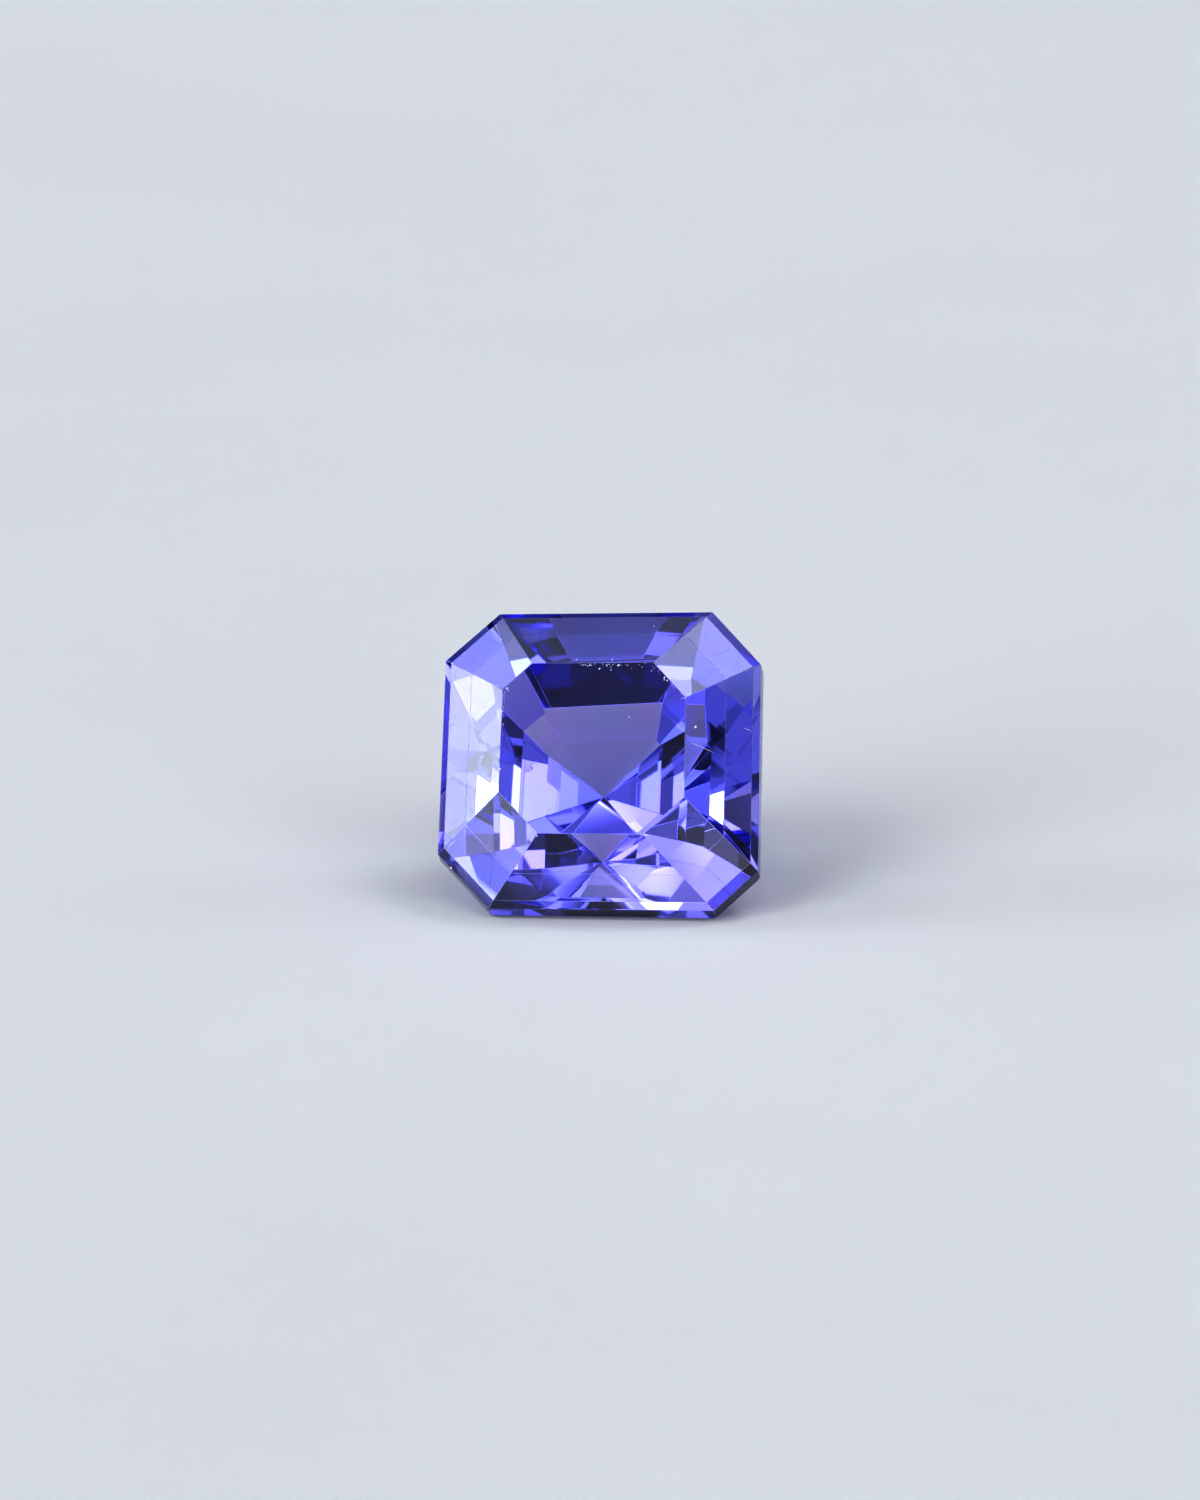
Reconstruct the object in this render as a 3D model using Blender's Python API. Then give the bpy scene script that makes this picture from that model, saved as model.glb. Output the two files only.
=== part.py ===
"""A cut and polished tanzanite: a square step cut with cut corners, lying on one facet of its pavilion.

The stone is cut in its own frame first, table up, as a cutter has it on the dop: a block is trimmed by
one plane for each facet. Then it is laid down on its front pavilion facet, with the table facing front
and up. Lengths are millimetres until the last step, which turns them into metres.
"""

import math

import bmesh
import bpy
from mathutils import Matrix, Vector

METRES_PER_MM = 0.001

# The eight sides of the crown, seen from above the table. Each has the direction that its facets face, in
# degrees counted from the stone's right, and how far its table edge and its girdle lie from the stone's
# axis. The stone was cut by hand, so the sides are a little unequal and some are a degree or two off.
CROWN_SIDES = {
    "right": (2, 2.30, 4.03),
    "back_right": (43, 2.53, 4.66),
    "back": (91, 2.19, 3.94),
    "back_left": (134, 2.70, 4.69),
    "left": (181, 2.33, 3.97),
    "front_left": (224, 2.52, 4.55),
    "front": (270, 2.31, 3.89),
    "front_right": (315, 2.60, 4.93),
}

# The pavilion was cut with the stone turned over, so its facets don't face quite the same ways. Each side
# has its direction, and where its first two steps end, as shares of the way in from girdle to culet.
PAVILION_SIDES = {
    "right": (1, 0.49, 0.64),
    "back_right": (46, 0.49, 0.61),
    "back": (93.5, 0.52, 0.70),
    "back_left": (132, 0.50, 0.67),
    "left": (180, 0.48, 0.64),
    "front_left": (223.5, 0.49, 0.65),
    "front": (269.5, 0.50, 0.68),
    "front_right": (314, 0.55, 0.69),
}

CROWN_HEIGHT = 1.21
GIRDLE_THICKNESS = 0.54
PAVILION_DEPTH = 4.35

# Where the steps of the crown end, as shares of the way out from the table edge to the girdle and of
# the way down the crown. The steps of the pavilion end at these shares of the way down to the culet.
CROWN_STEPS = ((0.54, 0.51), (0.90, 0.86), (1.0, 1.0))
PAVILION_STEP_DEPTHS = (0.59, 0.74, 1.0)

# The culet is the point at the bottom. It lies a little off the stone's axis.
CULET = Vector((-0.15, -0.15, -GIRDLE_THICKNESS - PAVILION_DEPTH))

# The stone is turned about the vertical, so that the table faces slightly left of the front.
TURN_LEFT = math.radians(7.8)

BLOCK_SIZE = 20.0
SAME_POINT = 1e-4

BODY_COLOUR = (0.16, 0.11, 0.80, 1.0)
REFRACTIVE_INDEX = 1.69
POLISH_ROUGHNESS = 0.02


def outward(angle):
    """The level direction that a side faces."""
    return Vector((math.cos(math.radians(angle)), math.sin(math.radians(angle)), 0.0))


def level_line(side, reach, height):
    """A point of the level line where a facet ends, straight out from the axis."""
    return side * reach + Vector((0.0, 0.0, height))


def facet_normal(side, upper, lower):
    """The normal of the facet that runs from the level line at upper to the one at lower."""
    down = lower - upper
    along = Vector((0.0, 0.0, 1.0)).cross(side)
    normal = along.cross(down).normalized()
    return normal if normal.dot(side) > 0.0 else -normal


def cut_facet(stone, point, normal):
    """Grinds away all that lies outside one plane, and closes the stone there with a flat facet."""
    cut = bmesh.ops.bisect_plane(
        stone,
        geom=stone.verts[:] + stone.edges[:] + stone.faces[:],
        dist=SAME_POINT,
        plane_co=point,
        plane_no=normal,
        clear_outer=True,
    )
    rim = [item for item in cut["geom_cut"] if isinstance(item, bmesh.types.BMEdge)]
    open_rim = [edge for edge in rim if edge.is_boundary]
    if open_rim:
        bmesh.ops.contextual_create(stone, geom=open_rim)


def cut_steps(stone, side, lines):
    """Cuts one side's facets, each between two of its level lines, from the top line down."""
    for upper, lower in zip(lines, lines[1:]):
        cut_facet(stone, upper, facet_normal(side, upper, lower))


def crown_lines(side, table_reach, girdle_reach):
    """The level lines of one side of the crown, from the table edge down to the girdle."""
    lines = [level_line(side, table_reach, CROWN_HEIGHT)]
    for share_out, share_down in CROWN_STEPS:
        reach = table_reach + share_out * (girdle_reach - table_reach)
        lines.append(level_line(side, reach, CROWN_HEIGHT * (1.0 - share_down)))
    return lines


def pavilion_lines(name):
    """The level lines of one side of the pavilion, from the girdle down to the culet."""
    angle, first_share, second_share = PAVILION_SIDES[name]
    girdle_reach = CROWN_SIDES[name][2]
    side = outward(angle)
    lines = [level_line(side, girdle_reach, -GIRDLE_THICKNESS)]
    for share_in, share_down in zip((first_share, second_share, 1.0), PAVILION_STEP_DEPTHS):
        reach = girdle_reach + share_in * (side.dot(CULET) - girdle_reach)
        lines.append(level_line(side, reach, -GIRDLE_THICKNESS - share_down * PAVILION_DEPTH))
    return lines


def cut_stone():
    """The whole stone in its own frame, table up, with its axis on Z and the top of the girdle at 0."""
    stone = bmesh.new()
    bmesh.ops.create_cube(stone, size=BLOCK_SIZE)
    cut_facet(stone, Vector((0.0, 0.0, CROWN_HEIGHT)), Vector((0.0, 0.0, 1.0)))
    for name, (angle, table_reach, girdle_reach) in CROWN_SIDES.items():
        side = outward(angle)
        cut_facet(stone, side * girdle_reach, side)
        cut_steps(stone, side, crown_lines(side, table_reach, girdle_reach))
        cut_steps(stone, outward(PAVILION_SIDES[name][0]), pavilion_lines(name))
    bmesh.ops.remove_doubles(stone, verts=stone.verts[:], dist=SAME_POINT)
    bmesh.ops.recalc_face_normals(stone, faces=stone.faces[:])
    return stone


def lay_down(stone):
    """Turns the stone onto its front pavilion facet and puts the middle of its footprint at the origin."""
    side = outward(PAVILION_SIDES["front"][0])
    upper, lower = pavilion_lines("front")[:2]
    rest_normal = facet_normal(side, upper, lower)
    onto_facet = rest_normal.rotation_difference(Vector((0.0, 0.0, -1.0))).to_matrix()
    turned = Matrix.Rotation(-TURN_LEFT, 3, "Z") @ onto_facet
    bmesh.ops.transform(stone, matrix=turned.to_4x4(), verts=stone.verts[:])
    lowest, highest = (
        Vector([pick(vert.co[axis] for vert in stone.verts) for axis in range(3)]) for pick in (min, max)
    )
    middle = (lowest + highest) / 2.0
    bmesh.ops.translate(stone, vec=(-middle.x, -middle.y, -lowest.z), verts=stone.verts[:])


def clear_violet_blue():
    """The stone's own material: clear, violet blue and polished."""
    material = bpy.data.materials.new("clear_violet_blue")
    material.use_nodes = True
    shader = material.node_tree.nodes["Principled BSDF"]
    shader.inputs["Base Color"].default_value = BODY_COLOUR
    shader.inputs["Roughness"].default_value = POLISH_ROUGHNESS
    shader.inputs["Metallic"].default_value = 0.0
    shader.inputs["IOR"].default_value = REFRACTIVE_INDEX
    shader.inputs["Transmission Weight"].default_value = 1.0
    return material


def make_gem():
    """The stone as one object, at its real size, lying as it rests."""
    stone = cut_stone()
    lay_down(stone)
    bmesh.ops.scale(stone, vec=(METRES_PER_MM,) * 3, verts=stone.verts[:])
    mesh = bpy.data.meshes.new("tanzanite_gem")
    stone.to_mesh(mesh)
    stone.free()
    gem = bpy.data.objects.new("tanzanite_gem", mesh)
    gem.data.materials.append(clear_violet_blue())
    bpy.context.scene.collection.objects.link(gem)
    return gem


for old in list(bpy.data.objects):
    bpy.data.objects.remove(old, do_unlink=True)
make_gem()
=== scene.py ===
# %% [markdown]
# # A cut tanzanite
#
# This lesson dresses one faceted gemstone. The stone is a single piece of clear violet-blue mineral, cut
# as a square step cut with cut corners, and it lies on one facet of its pavilion with its table turned up
# to the viewer. A gem has next to no surface pattern of its own. What the eye reads is the room, bent and
# thrown back by some sixty flat mirrors, so most of the work is in the facets' edges, the depth of the
# colour inside the stone, and the light around it.

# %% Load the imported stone
import math
import random

import bmesh
import bpy
from mathutils import Matrix, Vector
from mathutils.bvhtree import BVHTree


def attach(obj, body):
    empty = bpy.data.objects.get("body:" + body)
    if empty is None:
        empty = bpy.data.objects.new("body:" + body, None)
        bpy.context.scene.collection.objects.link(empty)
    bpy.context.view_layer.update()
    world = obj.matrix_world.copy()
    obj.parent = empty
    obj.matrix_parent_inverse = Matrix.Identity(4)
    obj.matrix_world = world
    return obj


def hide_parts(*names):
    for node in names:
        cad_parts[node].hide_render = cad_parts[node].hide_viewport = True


MM = 0.001

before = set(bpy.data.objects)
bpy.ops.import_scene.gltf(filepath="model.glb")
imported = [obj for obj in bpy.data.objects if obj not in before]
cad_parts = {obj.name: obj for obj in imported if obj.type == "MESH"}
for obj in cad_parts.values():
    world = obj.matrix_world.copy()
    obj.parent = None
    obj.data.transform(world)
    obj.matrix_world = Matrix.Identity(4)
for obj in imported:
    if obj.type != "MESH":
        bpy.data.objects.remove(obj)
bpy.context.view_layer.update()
cad_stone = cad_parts["tanzanite_gem"]

# %% [markdown]
# ## The stone's facets
#
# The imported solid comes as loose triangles. They are joined again into whole facets, because a facet is
# one flat face, and because only a real facet edge should catch a line of light.
#
# A copy is used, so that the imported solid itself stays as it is.

# %% Join the triangles into facets
SAME_PLACE = 0.001 * MM
SAME_PLANE = math.radians(0.1)

facets = bmesh.new()
facets.from_mesh(cad_stone.data)
bmesh.ops.remove_doubles(facets, verts=facets.verts[:], dist=SAME_PLACE)
bmesh.ops.dissolve_limit(
    facets, angle_limit=SAME_PLANE, verts=facets.verts[:], edges=facets.edges[:]
)
table = max(facets.faces, key=lambda face: face.calc_area())
table_middle = table.calc_center_median()
stone_tree = BVHTree.FromBMesh(facets)
print(len(facets.faces), "facets; table area, mm2:", round(table.calc_area() / MM**2, 2))

# %% Tell the girdle from the polished facets
# The stone has three materials: polished is 0, the ground girdle 1 and chafed edges 2.
GROUND = 1
UPRIGHT = 0.01

girdle = [face for face in facets.faces if abs(face.normal.dot(table.normal)) < UPRIGHT]
for face in girdle:
    face.material_index = GROUND
print(len(girdle), "facets in the girdle")

# %% [markdown]
# ## The camera
#
# The photograph is a close-up through a long lens, so the stone shows almost no perspective. The camera
# stands in front of the stone and a little above it, and it is turned slightly about its own line of
# sight, as a camera held by hand is. It comes first, because a few specks further down are placed by where
# they are seen.
#
# The picture's long side sets the lens, and at the stone's distance that side takes in 37 mm.

# %% Put up the camera
IMAGE_WIDTH, IMAGE_HEIGHT = 1200, 1500
SEEN_HEIGHT = 37.3 * MM
CAMERA_DISTANCE = 300 * MM
CAMERA_ELEVATION = math.radians(16.8)
CAMERA_ROLL = math.radians(-1.45)
AIM_RIGHT_OF_TABLE = 0.20 * MM
AIM_BELOW_TABLE = 0.10 * MM
SENSOR = 36.0


def put_up_camera():
    """The camera, looking along +Y and down at the stone."""
    camera = bpy.data.objects.new("camera", bpy.data.cameras.new("camera"))
    camera.data.sensor_width = SENSOR
    camera.data.lens = SENSOR * CAMERA_DISTANCE / SEEN_HEIGHT
    turn = (
        Matrix.Rotation(math.pi / 2 - CAMERA_ELEVATION, 4, "X")
        @ Matrix.Rotation(CAMERA_ROLL, 4, "Z")
    )
    right, up, back = turn.to_3x3().col
    aim = table_middle + right * AIM_RIGHT_OF_TABLE - up * AIM_BELOW_TABLE
    camera.matrix_world = Matrix.Translation(aim + back * CAMERA_DISTANCE) @ turn
    bpy.context.scene.collection.objects.link(camera)
    bpy.context.scene.camera = camera
    return camera


camera = put_up_camera()
print("lens, mm:", round(camera.data.lens, 1))

# %% Find what a point of the picture shows
PIXEL = SEEN_HEIGHT / IMAGE_HEIGHT


def seen_at(across, down):
    """The spot on the stone, and the way its facet faces, at one point of the picture's frame."""
    aim = Vector(
        ((across - IMAGE_WIDTH / 2) * PIXEL, (IMAGE_HEIGHT / 2 - down) * PIXEL, -CAMERA_DISTANCE)
    )
    eye = camera.matrix_world.translation
    sight = (camera.matrix_world.to_3x3() @ aim).normalized()
    spot, facing, _, _ = stone_tree.ray_cast(eye, sight)
    return spot, facing


print("one pixel of the picture, mm:", round(PIXEL / MM, 4))

# %% [markdown]
# ## Worn facet edges
#
# Where two facets meet, the polishing lap leaves a sharp edge, and wear rounds it by a few hundredths of a
# millimetre. That tiny rounded strip faces many ways at once, so it always finds a light somewhere: it
# draws the thin bright lines between the facets. A narrow bevel of four segments on every edge does the same
# here. The tiniest edges are merged first, so that the bevels of their neighbours have room.
#
# The edges of the crown take the knocks, so their strips get a finish of their own: fine chafing that makes
# them a little pale.

# %% Bevel the edges of a new stone
EDGE_WEAR = 0.036 * MM
EDGE_SEGMENTS = 4
TINY_EDGE = 0.03 * MM
CHAFED = 2
# A strip is on the crown if it faces the same way as the table by at least this much.
CROWN_FACING = 0.65


def object_from(shape, name, *materials):
    """A bmesh made into an object at the origin, with its materials."""
    mesh = bpy.data.meshes.new(name)
    shape.to_mesh(mesh)
    shape.free()
    for material in materials:
        mesh.materials.append(material)
    made = bpy.data.objects.new(name, mesh)
    bpy.context.scene.collection.objects.link(made)
    return made


def worn_stone():
    """The whole facets with every edge between them slightly rounded, and chafed on the crown."""
    stone = facets.copy()
    bmesh.ops.remove_doubles(stone, verts=stone.verts[:], dist=TINY_EDGE)
    rounded = bmesh.ops.bevel(
        stone,
        geom=stone.edges[:],
        offset=EDGE_WEAR,
        affect="EDGES",
        segments=EDGE_SEGMENTS,
        profile=0.5,
        material=-1,
        clamp_overlap=True,
    )
    stone.normal_update()
    for strip in rounded["faces"]:
        if strip.normal.dot(table.normal) > CROWN_FACING:
            strip.material_index = CHAFED
    return stone


# %% [markdown]
# ## Shader maths in Python
#
# A material is a graph of nodes. Written out socket by socket it is hard to read, so one small class wraps
# a socket and turns Python's own operators into Math nodes, and one method makes any other node.

# %% A value that can be calculated with
class Value:
    """A shader socket that takes part in sums and products."""

    def __init__(self, graph, socket):
        self.graph = graph
        self.socket = socket

    def _math(self, operation, *terms):
        return self.graph.node("Math", {"operation": operation}, dict(enumerate(terms)))

    def __add__(self, other):
        return self._math("ADD", self, other)

    def __mul__(self, other):
        return self._math("MULTIPLY", self, other)

    def power(self, other):
        """This value raised to a power."""
        return self._math("POWER", self, other)

    def exponent(self):
        """The number e raised to this value."""
        return self._math("EXPONENT", self)

    __radd__ = __add__
    __rmul__ = __mul__


class Graph:
    """The node graph of one new material or world."""

    def __init__(self, owner):
        self.owner = owner
        owner.use_nodes = True
        self.tree = owner.node_tree
        self.surface = self.tree.nodes.get("Principled BSDF")

    @classmethod
    def material(cls, name):
        """The graph of a new material, with its Principled BSDF as the surface."""
        return cls(bpy.data.materials.new(name))

    def node(self, kind, settings=None, inputs=None, output=0):
        """Makes a node, sets it up, fills its sockets and returns one of its outputs."""
        made = self.tree.nodes.new("ShaderNode" + kind)
        for name, value in (settings or {}).items():
            setattr(made, name, value)
        for name, value in (inputs or {}).items():
            self.fill(made.inputs[name], value)
        return Value(self, made.outputs[output])

    def fill(self, socket, value):
        """Links a Value to a socket, or writes a plain number or colour in it."""
        if isinstance(value, Value):
            self.tree.links.new(value.socket, socket)
        else:
            socket.default_value = value

    def ramp(self, value, stops):
        """A colour for each level of a value, from (level, colour) stops."""
        made = self.node("ValToRGB", inputs={"Fac": value})
        ramp = made.socket.node.color_ramp
        for element, (level, colour) in zip(ramp.elements, stops):
            element.position, element.color = level, colour
        return made

    def place(self):
        """The point on the piece, in metres, the same from every side."""
        return self.node("TexCoord", output="Object")


# %% [markdown]
# ## Clear violet blue
#
# Tanzanite is clear, so its colour isn't on the surface: light loses its green and its red on the way
# through, a little with every millimetre. Short paths look pale lilac and long ones deep violet blue. That
# is an absorbing volume under a clear, strongly bending surface.
#
# The polish isn't perfect. Faint hairline scratches and a slight unevenness of the facets are left from
# the lap. The girdle between crown and pavilion is only finely ground, so it is a little frosted. The colour
# isn't quite even either: weak zones lean towards blue or towards violet. The chafed edges are rougher, and
# scatter a part of the light before it gets in.

# %% Make the stone's materials
REFRACTIVE_INDEX = 1.69
ABSORPTION_PER_METRE = 160.0
ABSORPTION_COLOUR = (0.24, 0.21, 0.94, 1.0)
CLEAR_TINT = ((0.38, (0.82, 0.97, 1.0, 1.0)), (0.62, (1.0, 0.87, 1.0, 1.0)))
ZONE_SCALE = 420.0
# Scratches are the peaks of a noise that is drawn out along one direction.
SCRATCH_TURN = (0.4, 0.2, 0.9)
SCRATCH_STRETCH = (9000.0, 260.0, 260.0)
SCRATCH_SHARPNESS = 24.0
SCRATCH_GAIN = 60.0
SCRATCH_ROUGHNESS = 0.05
UNEVEN_DEPTH = 0.02 * MM
# How rough each finish is, how fine its unevenness and how deep, and how clear it leaves the stone.
FINISHES = {
    "polished": (0.03, 420.0, 0.02, 1.0),
    "ground": (0.08, 1500.0, 0.01, 1.0),
    "chafed": (0.30, 1500.0, 0.01, 0.8),
}


def clear_tanzanite(finish):
    """A clear stone that colours light by how far it travels inside."""
    roughness, bump_scale, bump_strength, clearness = FINISHES[finish]
    graph = Graph.material(finish + "_tanzanite")
    place = graph.place()
    zones = graph.node("TexNoise", inputs={"Vector": place, "Scale": ZONE_SCALE, "Detail": 1.0})
    stretched = graph.node(
        "Mapping", inputs={"Vector": place, "Rotation": SCRATCH_TURN, "Scale": SCRATCH_STRETCH}
    )
    hairlines = graph.node("TexNoise", inputs={"Vector": stretched, "Scale": 1.0, "Detail": 2.0})
    scratches = hairlines.power(SCRATCH_SHARPNESS) * SCRATCH_GAIN
    uneven = graph.node("TexNoise", inputs={"Vector": place, "Scale": bump_scale, "Detail": 0.0})
    bump = graph.node(
        "Bump", inputs={"Height": uneven, "Strength": bump_strength, "Distance": UNEVEN_DEPTH}
    )
    surface = graph.surface
    graph.fill(surface.inputs["Base Color"], graph.ramp(zones, CLEAR_TINT))
    graph.fill(surface.inputs["Roughness"], roughness + scratches * SCRATCH_ROUGHNESS)
    graph.fill(surface.inputs["Normal"], bump)
    surface.inputs["IOR"].default_value = REFRACTIVE_INDEX
    surface.inputs["Transmission Weight"].default_value = clearness
    inside = graph.node(
        "VolumeAbsorption", inputs={"Color": ABSORPTION_COLOUR, "Density": ABSORPTION_PER_METRE}
    )
    graph.fill(graph.tree.nodes["Material Output"].inputs["Volume"], inside)
    return graph.owner


gem = object_from(
    worn_stone(), "faceted_tanzanite", *(clear_tanzanite(finish) for finish in FINISHES)
)
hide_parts("tanzanite_gem")
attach(gem, "root")
print("faces with worn edges:", len(gem.data.polygons))

# %% [markdown]
# ## Dust and hairlines
#
# The stone has been handled. Tiny pale flecks have caught along the edge of the table, a few lie loose on
# the facets, and here and there a hair-fine line runs across. Each is a flattened grain set into the facet
# that carries it. They are placed where the photograph shows them, and those too small to tell apart are
# strewn along the same edges with a fixed seed.

# %% List the flecks
# Across and down in the picture's frame, and the radius, all in pixels.
FLECKS = (
    (695.5, 727.0, 1.1),
    (687.5, 736.0, 0.6),
    (760.0, 741.5, 0.7),
    (500.0, 769.0, 1.0),
    (629.0, 717.0, 0.7),
    (537.0, 836.0, 0.8),
    (451.0, 868.0, 0.9),
    (453.5, 877.0, 0.8),
    (458.5, 888.0, 0.7),
    (507.0, 688.5, 0.9),
    (508.5, 690.5, 0.7),
    (504.5, 692.5, 0.6),
    (504.0, 696.0, 0.6),
    (576.5, 659.5, 0.6),
    (612.5, 660.0, 0.6),
    (599.5, 668.7, 0.8),
    (607.0, 665.6, 0.7),
    (611.0, 670.0, 0.6),
    (618.8, 665.2, 1.0),
    (651.5, 671.0, 0.6),
    (664.5, 677.6, 0.8),
    (667.5, 680.3, 0.6),
    (685.0, 698.0, 0.6),
    (654.0, 626.0, 0.7),
)
# The two ends of each hairline, in pixels.
HAIRLINES = (
    (687.5, 741.0, 716.0, 753.5),
    (742.5, 727.5, 752.0, 731.0),
    (447.5, 848.0, 456.5, 839.0),
)
HAIRLINE_WIDTH = 0.45
# How high a hairline stands, as a share of its width.
HAIRLINE_HEIGHT = 0.4
FLECK_SIZE = 1.7
# A fleck's length, width and height, as shares of its size.
FLECK_SHAPE = (1.0, 0.8, 0.4)
# The stretches of edge where smaller flecks gather: both ends and the spread in pixels, and how many.
DUSTY_EDGES = (
    (578, 664.5, 652, 665.5, 1.2, 34),
    (653, 667, 686, 699, 1.2, 14),
    (504, 689, 499, 775, 1.0, 16),
)
DUST_SEED = 7
SMALL_RADII = (0.25, 0.55)

# %% Set the flecks into the facets
def set_grain(dust, spot, along, facing, size):
    """One flattened grain: half its length, half its width and half its height."""
    across = facing.cross(along)
    turn = Matrix((along, across, facing)).transposed().to_4x4()
    grain = Matrix.Translation(spot) @ turn @ Matrix.Diagonal((*size, 1.0))
    bmesh.ops.create_icosphere(dust, subdivisions=1, radius=1.0, matrix=grain)


def set_fleck(dust, across, down, radius):
    """A loose fleck of dust at one point of the picture."""
    spot, facing = seen_at(across, down)
    if spot is None:
        return
    size = FLECK_SIZE * radius * PIXEL
    along = facing.orthogonal().normalized()
    set_grain(dust, spot, along, facing, [size * share for share in FLECK_SHAPE])


def set_hairline(dust, start_across, start_down, end_across, end_down):
    """A hair-fine line between two points of the picture that lie on one facet."""
    start, facing = seen_at(start_across, start_down)
    end, _ = seen_at(end_across, end_down)
    run = end - start
    width = HAIRLINE_WIDTH * PIXEL
    size = (run.length / 2, width, width * HAIRLINE_HEIGHT)
    set_grain(dust, (start + end) / 2, run.normalized(), facing, size)


def strewn_flecks():
    """The flecks too small to place one by one."""
    chance = random.Random(DUST_SEED)
    for start_across, start_down, end_across, end_down, spread, count in DUSTY_EDGES:
        for _ in range(count):
            share = chance.random()
            across = start_across + share * (end_across - start_across) + chance.gauss(0.0, spread)
            down = start_down + share * (end_down - start_down) + chance.gauss(0.0, spread)
            yield across, down, chance.uniform(*SMALL_RADII)


# %% Colour the dust and lay it on the stone
DUST_SHADES = ((0.35, (0.52, 0.49, 0.66, 1.0)), (0.65, (0.86, 0.85, 0.95, 1.0)))
DUST_SHADE_SCALE = 3000.0
DUST_ROUGHNESS = 0.8
DUST_ROUGHNESS_SPREAD = 0.2
# An icosphere of one subdivision has this many corners.
GRAIN_CORNERS = 12


def pale_dust():
    """Dry, pale grains, some greyer than others."""
    graph = Graph.material("pale_dust")
    grains = graph.node(
        "TexNoise", inputs={"Vector": graph.place(), "Scale": DUST_SHADE_SCALE, "Detail": 1.0}
    )
    graph.fill(graph.surface.inputs["Base Color"], graph.ramp(grains, DUST_SHADES))
    graph.fill(graph.surface.inputs["Roughness"], DUST_ROUGHNESS + grains * DUST_ROUGHNESS_SPREAD)
    return graph.owner


dust = bmesh.new()
for fleck in (*FLECKS, *strewn_flecks()):
    set_fleck(dust, *fleck)
for ends in HAIRLINES:
    set_hairline(dust, *ends)
print("grains of dust:", len(dust.verts) // GRAIN_CORNERS)
flecks = object_from(dust, "dust_flecks", pale_dust())
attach(flecks, "root")

# %% [markdown]
# ## Floor and light
#
# The floor is one pale, even sheet. It lies a hair below the stone, because two surfaces in one plane would
# spoil what is seen through them.
#
# A gem shows its whole surroundings back, so the light around it counts more than its surface does. In a
# room that is bright all over it looks like milky glass: every facet needs either a light or a dim part of
# the room to show.
#
# Lamps would show up in the facets as hard rectangles. The room is therefore painted as soft glows on the
# world's background, each with a direction, a width and a brightness. Each glow stands where the rays from
# the brighter facets leave the stone, bent or thrown back, and the dim gaps between them stand where the
# dark facets look. The largest are at the left, and the floor is lit by all of them together.

# %% Lay the floor
FLOOR_RADIUS = 500 * MM
FLOOR_GAP = 0.02 * MM
FLOOR_SIDES = 96
FLOOR_COLOUR = (0.93, 0.91, 0.87)
FLOOR_ROUGHNESS = 0.8
# The mottling: how fine it is, how dark its darker parts are, and the levels between which it turns.
MOTTLING_SCALE = 40.0
MOTTLING_SHADE = 0.97
MOTTLING_TURNS = (0.3, 0.7)


def pale_floor():
    """The material of the floor: matt and pale, with the faintest mottling."""
    graph = Graph.material("pale_floor")
    cloud = graph.node(
        "TexNoise", inputs={"Vector": graph.place(), "Scale": MOTTLING_SCALE, "Detail": 3.0}
    )
    shades = ((*(MOTTLING_SHADE * part for part in FLOOR_COLOUR), 1.0), (*FLOOR_COLOUR, 1.0))
    graph.fill(graph.surface.inputs["Base Color"], graph.ramp(cloud, zip(MOTTLING_TURNS, shades)))
    graph.surface.inputs["Roughness"].default_value = FLOOR_ROUGHNESS
    return graph.owner


disc = bmesh.new()
below = Matrix.Translation((0, 0, -FLOOR_GAP))
bmesh.ops.create_circle(
    disc, cap_ends=True, segments=FLOOR_SIDES, radius=FLOOR_RADIUS, matrix=below
)
floor = object_from(disc, "floor", pale_floor())
print("floor, mm below the stone:", FLOOR_GAP / MM)

# %% Paint the soft lights of the room
# Each glow: degrees round from straight behind the stone towards its right, degrees up, how fast it fades
# to the sides, and its brightness.
GLOWS = {
    "left_window": (279, 21, 100, 6.5),
    "left_window_top": (300, 47, 130, 4.5),
    "left_wall": (225, 13, 25, 3.5),
    "left_wall_high": (240, 42, 40, 2.5),
    "left_sill": (237, 14, 100, 3.0),
    "left_ceiling": (227, 46, 100, 3.5),
    "front_wall_left": (214, 39, 100, 2.0),
    "front_wall": (202, 34, 100, 2.0),
    "front_wall_high": (174, 47, 100, 2.5),
    "front_window": (186, 53, 200, 5.0),
    "front_ceiling": (158, 50, 80, 2.6),
    "front_right_wall": (138, 34, 40, 2.3),
    "front_right_low": (152, 13, 100, 2.2),
    "right_wall": (85, 30, 100, 2.5),
    "right_ceiling": (80, 60, 100, 3.0),
    "back_right_ceiling": (60, 65, 100, 4.0),
    "back_ceiling": (355, 57, 100, 1.0),
}
ROOM_DIM = 0.03
# The far wall stands pale behind the floor, up to a few degrees above it.
FAR_WALL_LIGHT = 0.55
FAR_WALL_REACH = 0.08
ROOM_COLOUR = (0.85, 0.90, 1.0)


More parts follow.
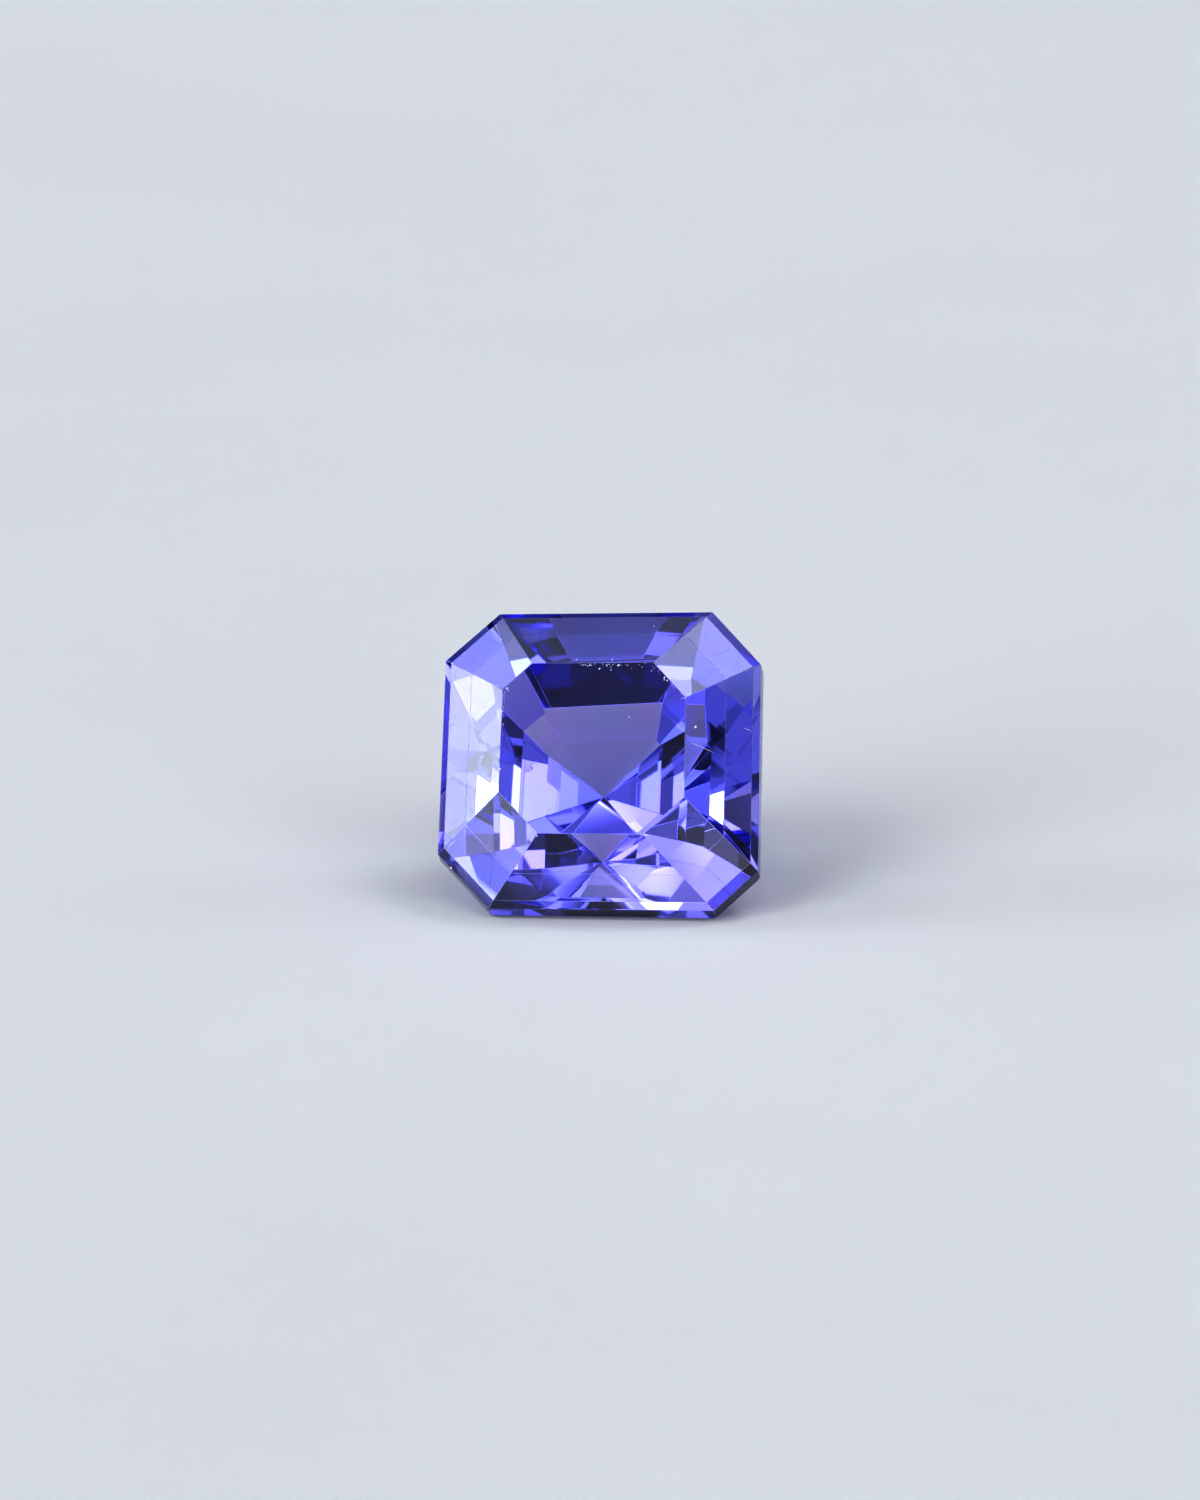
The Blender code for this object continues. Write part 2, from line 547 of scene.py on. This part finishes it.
def glow(graph, direction, around, up, fading, brightness):
    """One soft round patch of light in the room."""
    around, up = math.radians(around), math.radians(up)
    towards = Vector((math.sin(around) * math.cos(up), math.cos(around) * math.cos(up), math.sin(up)))
    facing = graph.node(
        "VectorMath", {"operation": "DOT_PRODUCT"}, {0: direction, 1: towards * fading}, output="Value"
    )
    return (facing + (math.log(brightness) - fading)).exponent()


def soft_room():
    """The surroundings: a dim room with a few soft glows."""
    graph = Graph(bpy.data.worlds.new("soft_room"))
    direction = graph.node("TexCoord", output="Generated")
    light = ROOM_DIM + sum(glow(graph, direction, *spec) for spec in GLOWS.values())
    rise = graph.node("SeparateXYZ", inputs={"Vector": direction}, output="Z") * (1.0 / FAR_WALL_REACH)
    light = light + (rise * rise * -1.0).exponent() * FAR_WALL_LIGHT
    background = graph.tree.nodes["Background"]
    background.inputs["Color"].default_value = (*ROOM_COLOUR, 1.0)
    graph.fill(background.inputs["Strength"], light)
    return graph.owner


bpy.context.scene.world = soft_room()
print("glows:", ", ".join(GLOWS))

# %% [markdown]
# ## Light paths and contrast
#
# Light is thrown back and forth many times inside a gem before it leaves. With too few bounces the deepest
# reflections would end in black. The pattern in which light paths are tried matters too. The usual one
# leaves an even noise, which the denoiser takes for a texture, and the classic one leaves a noise that it
# clears away.
#
# A close-up of a gem is usually printed with strong contrast. The plain view transform keeps the colours
# pure, a gamma below one deepens the darks, and a little more exposure holds the lights where they were.

# %% Allow enough bounces
MOST_BOUNCES = 24
MOST_INSIDE = 20

cycles = bpy.context.scene.cycles
cycles.max_bounces = MOST_BOUNCES
cycles.glossy_bounces = MOST_INSIDE
cycles.transmission_bounces = MOST_INSIDE
cycles.sampling_pattern = "TABULATED_SOBOL"
print("bounces:", cycles.max_bounces)

# %% Set the contrast
GAMMA = 0.64
EXPOSURE = 0.44

view = bpy.context.scene.view_settings
view.view_transform = "Standard"
view.gamma = GAMMA
view.exposure = EXPOSURE
print("gamma", GAMMA, "and exposure", EXPOSURE)

# %% Free the joined facets
facets.free()
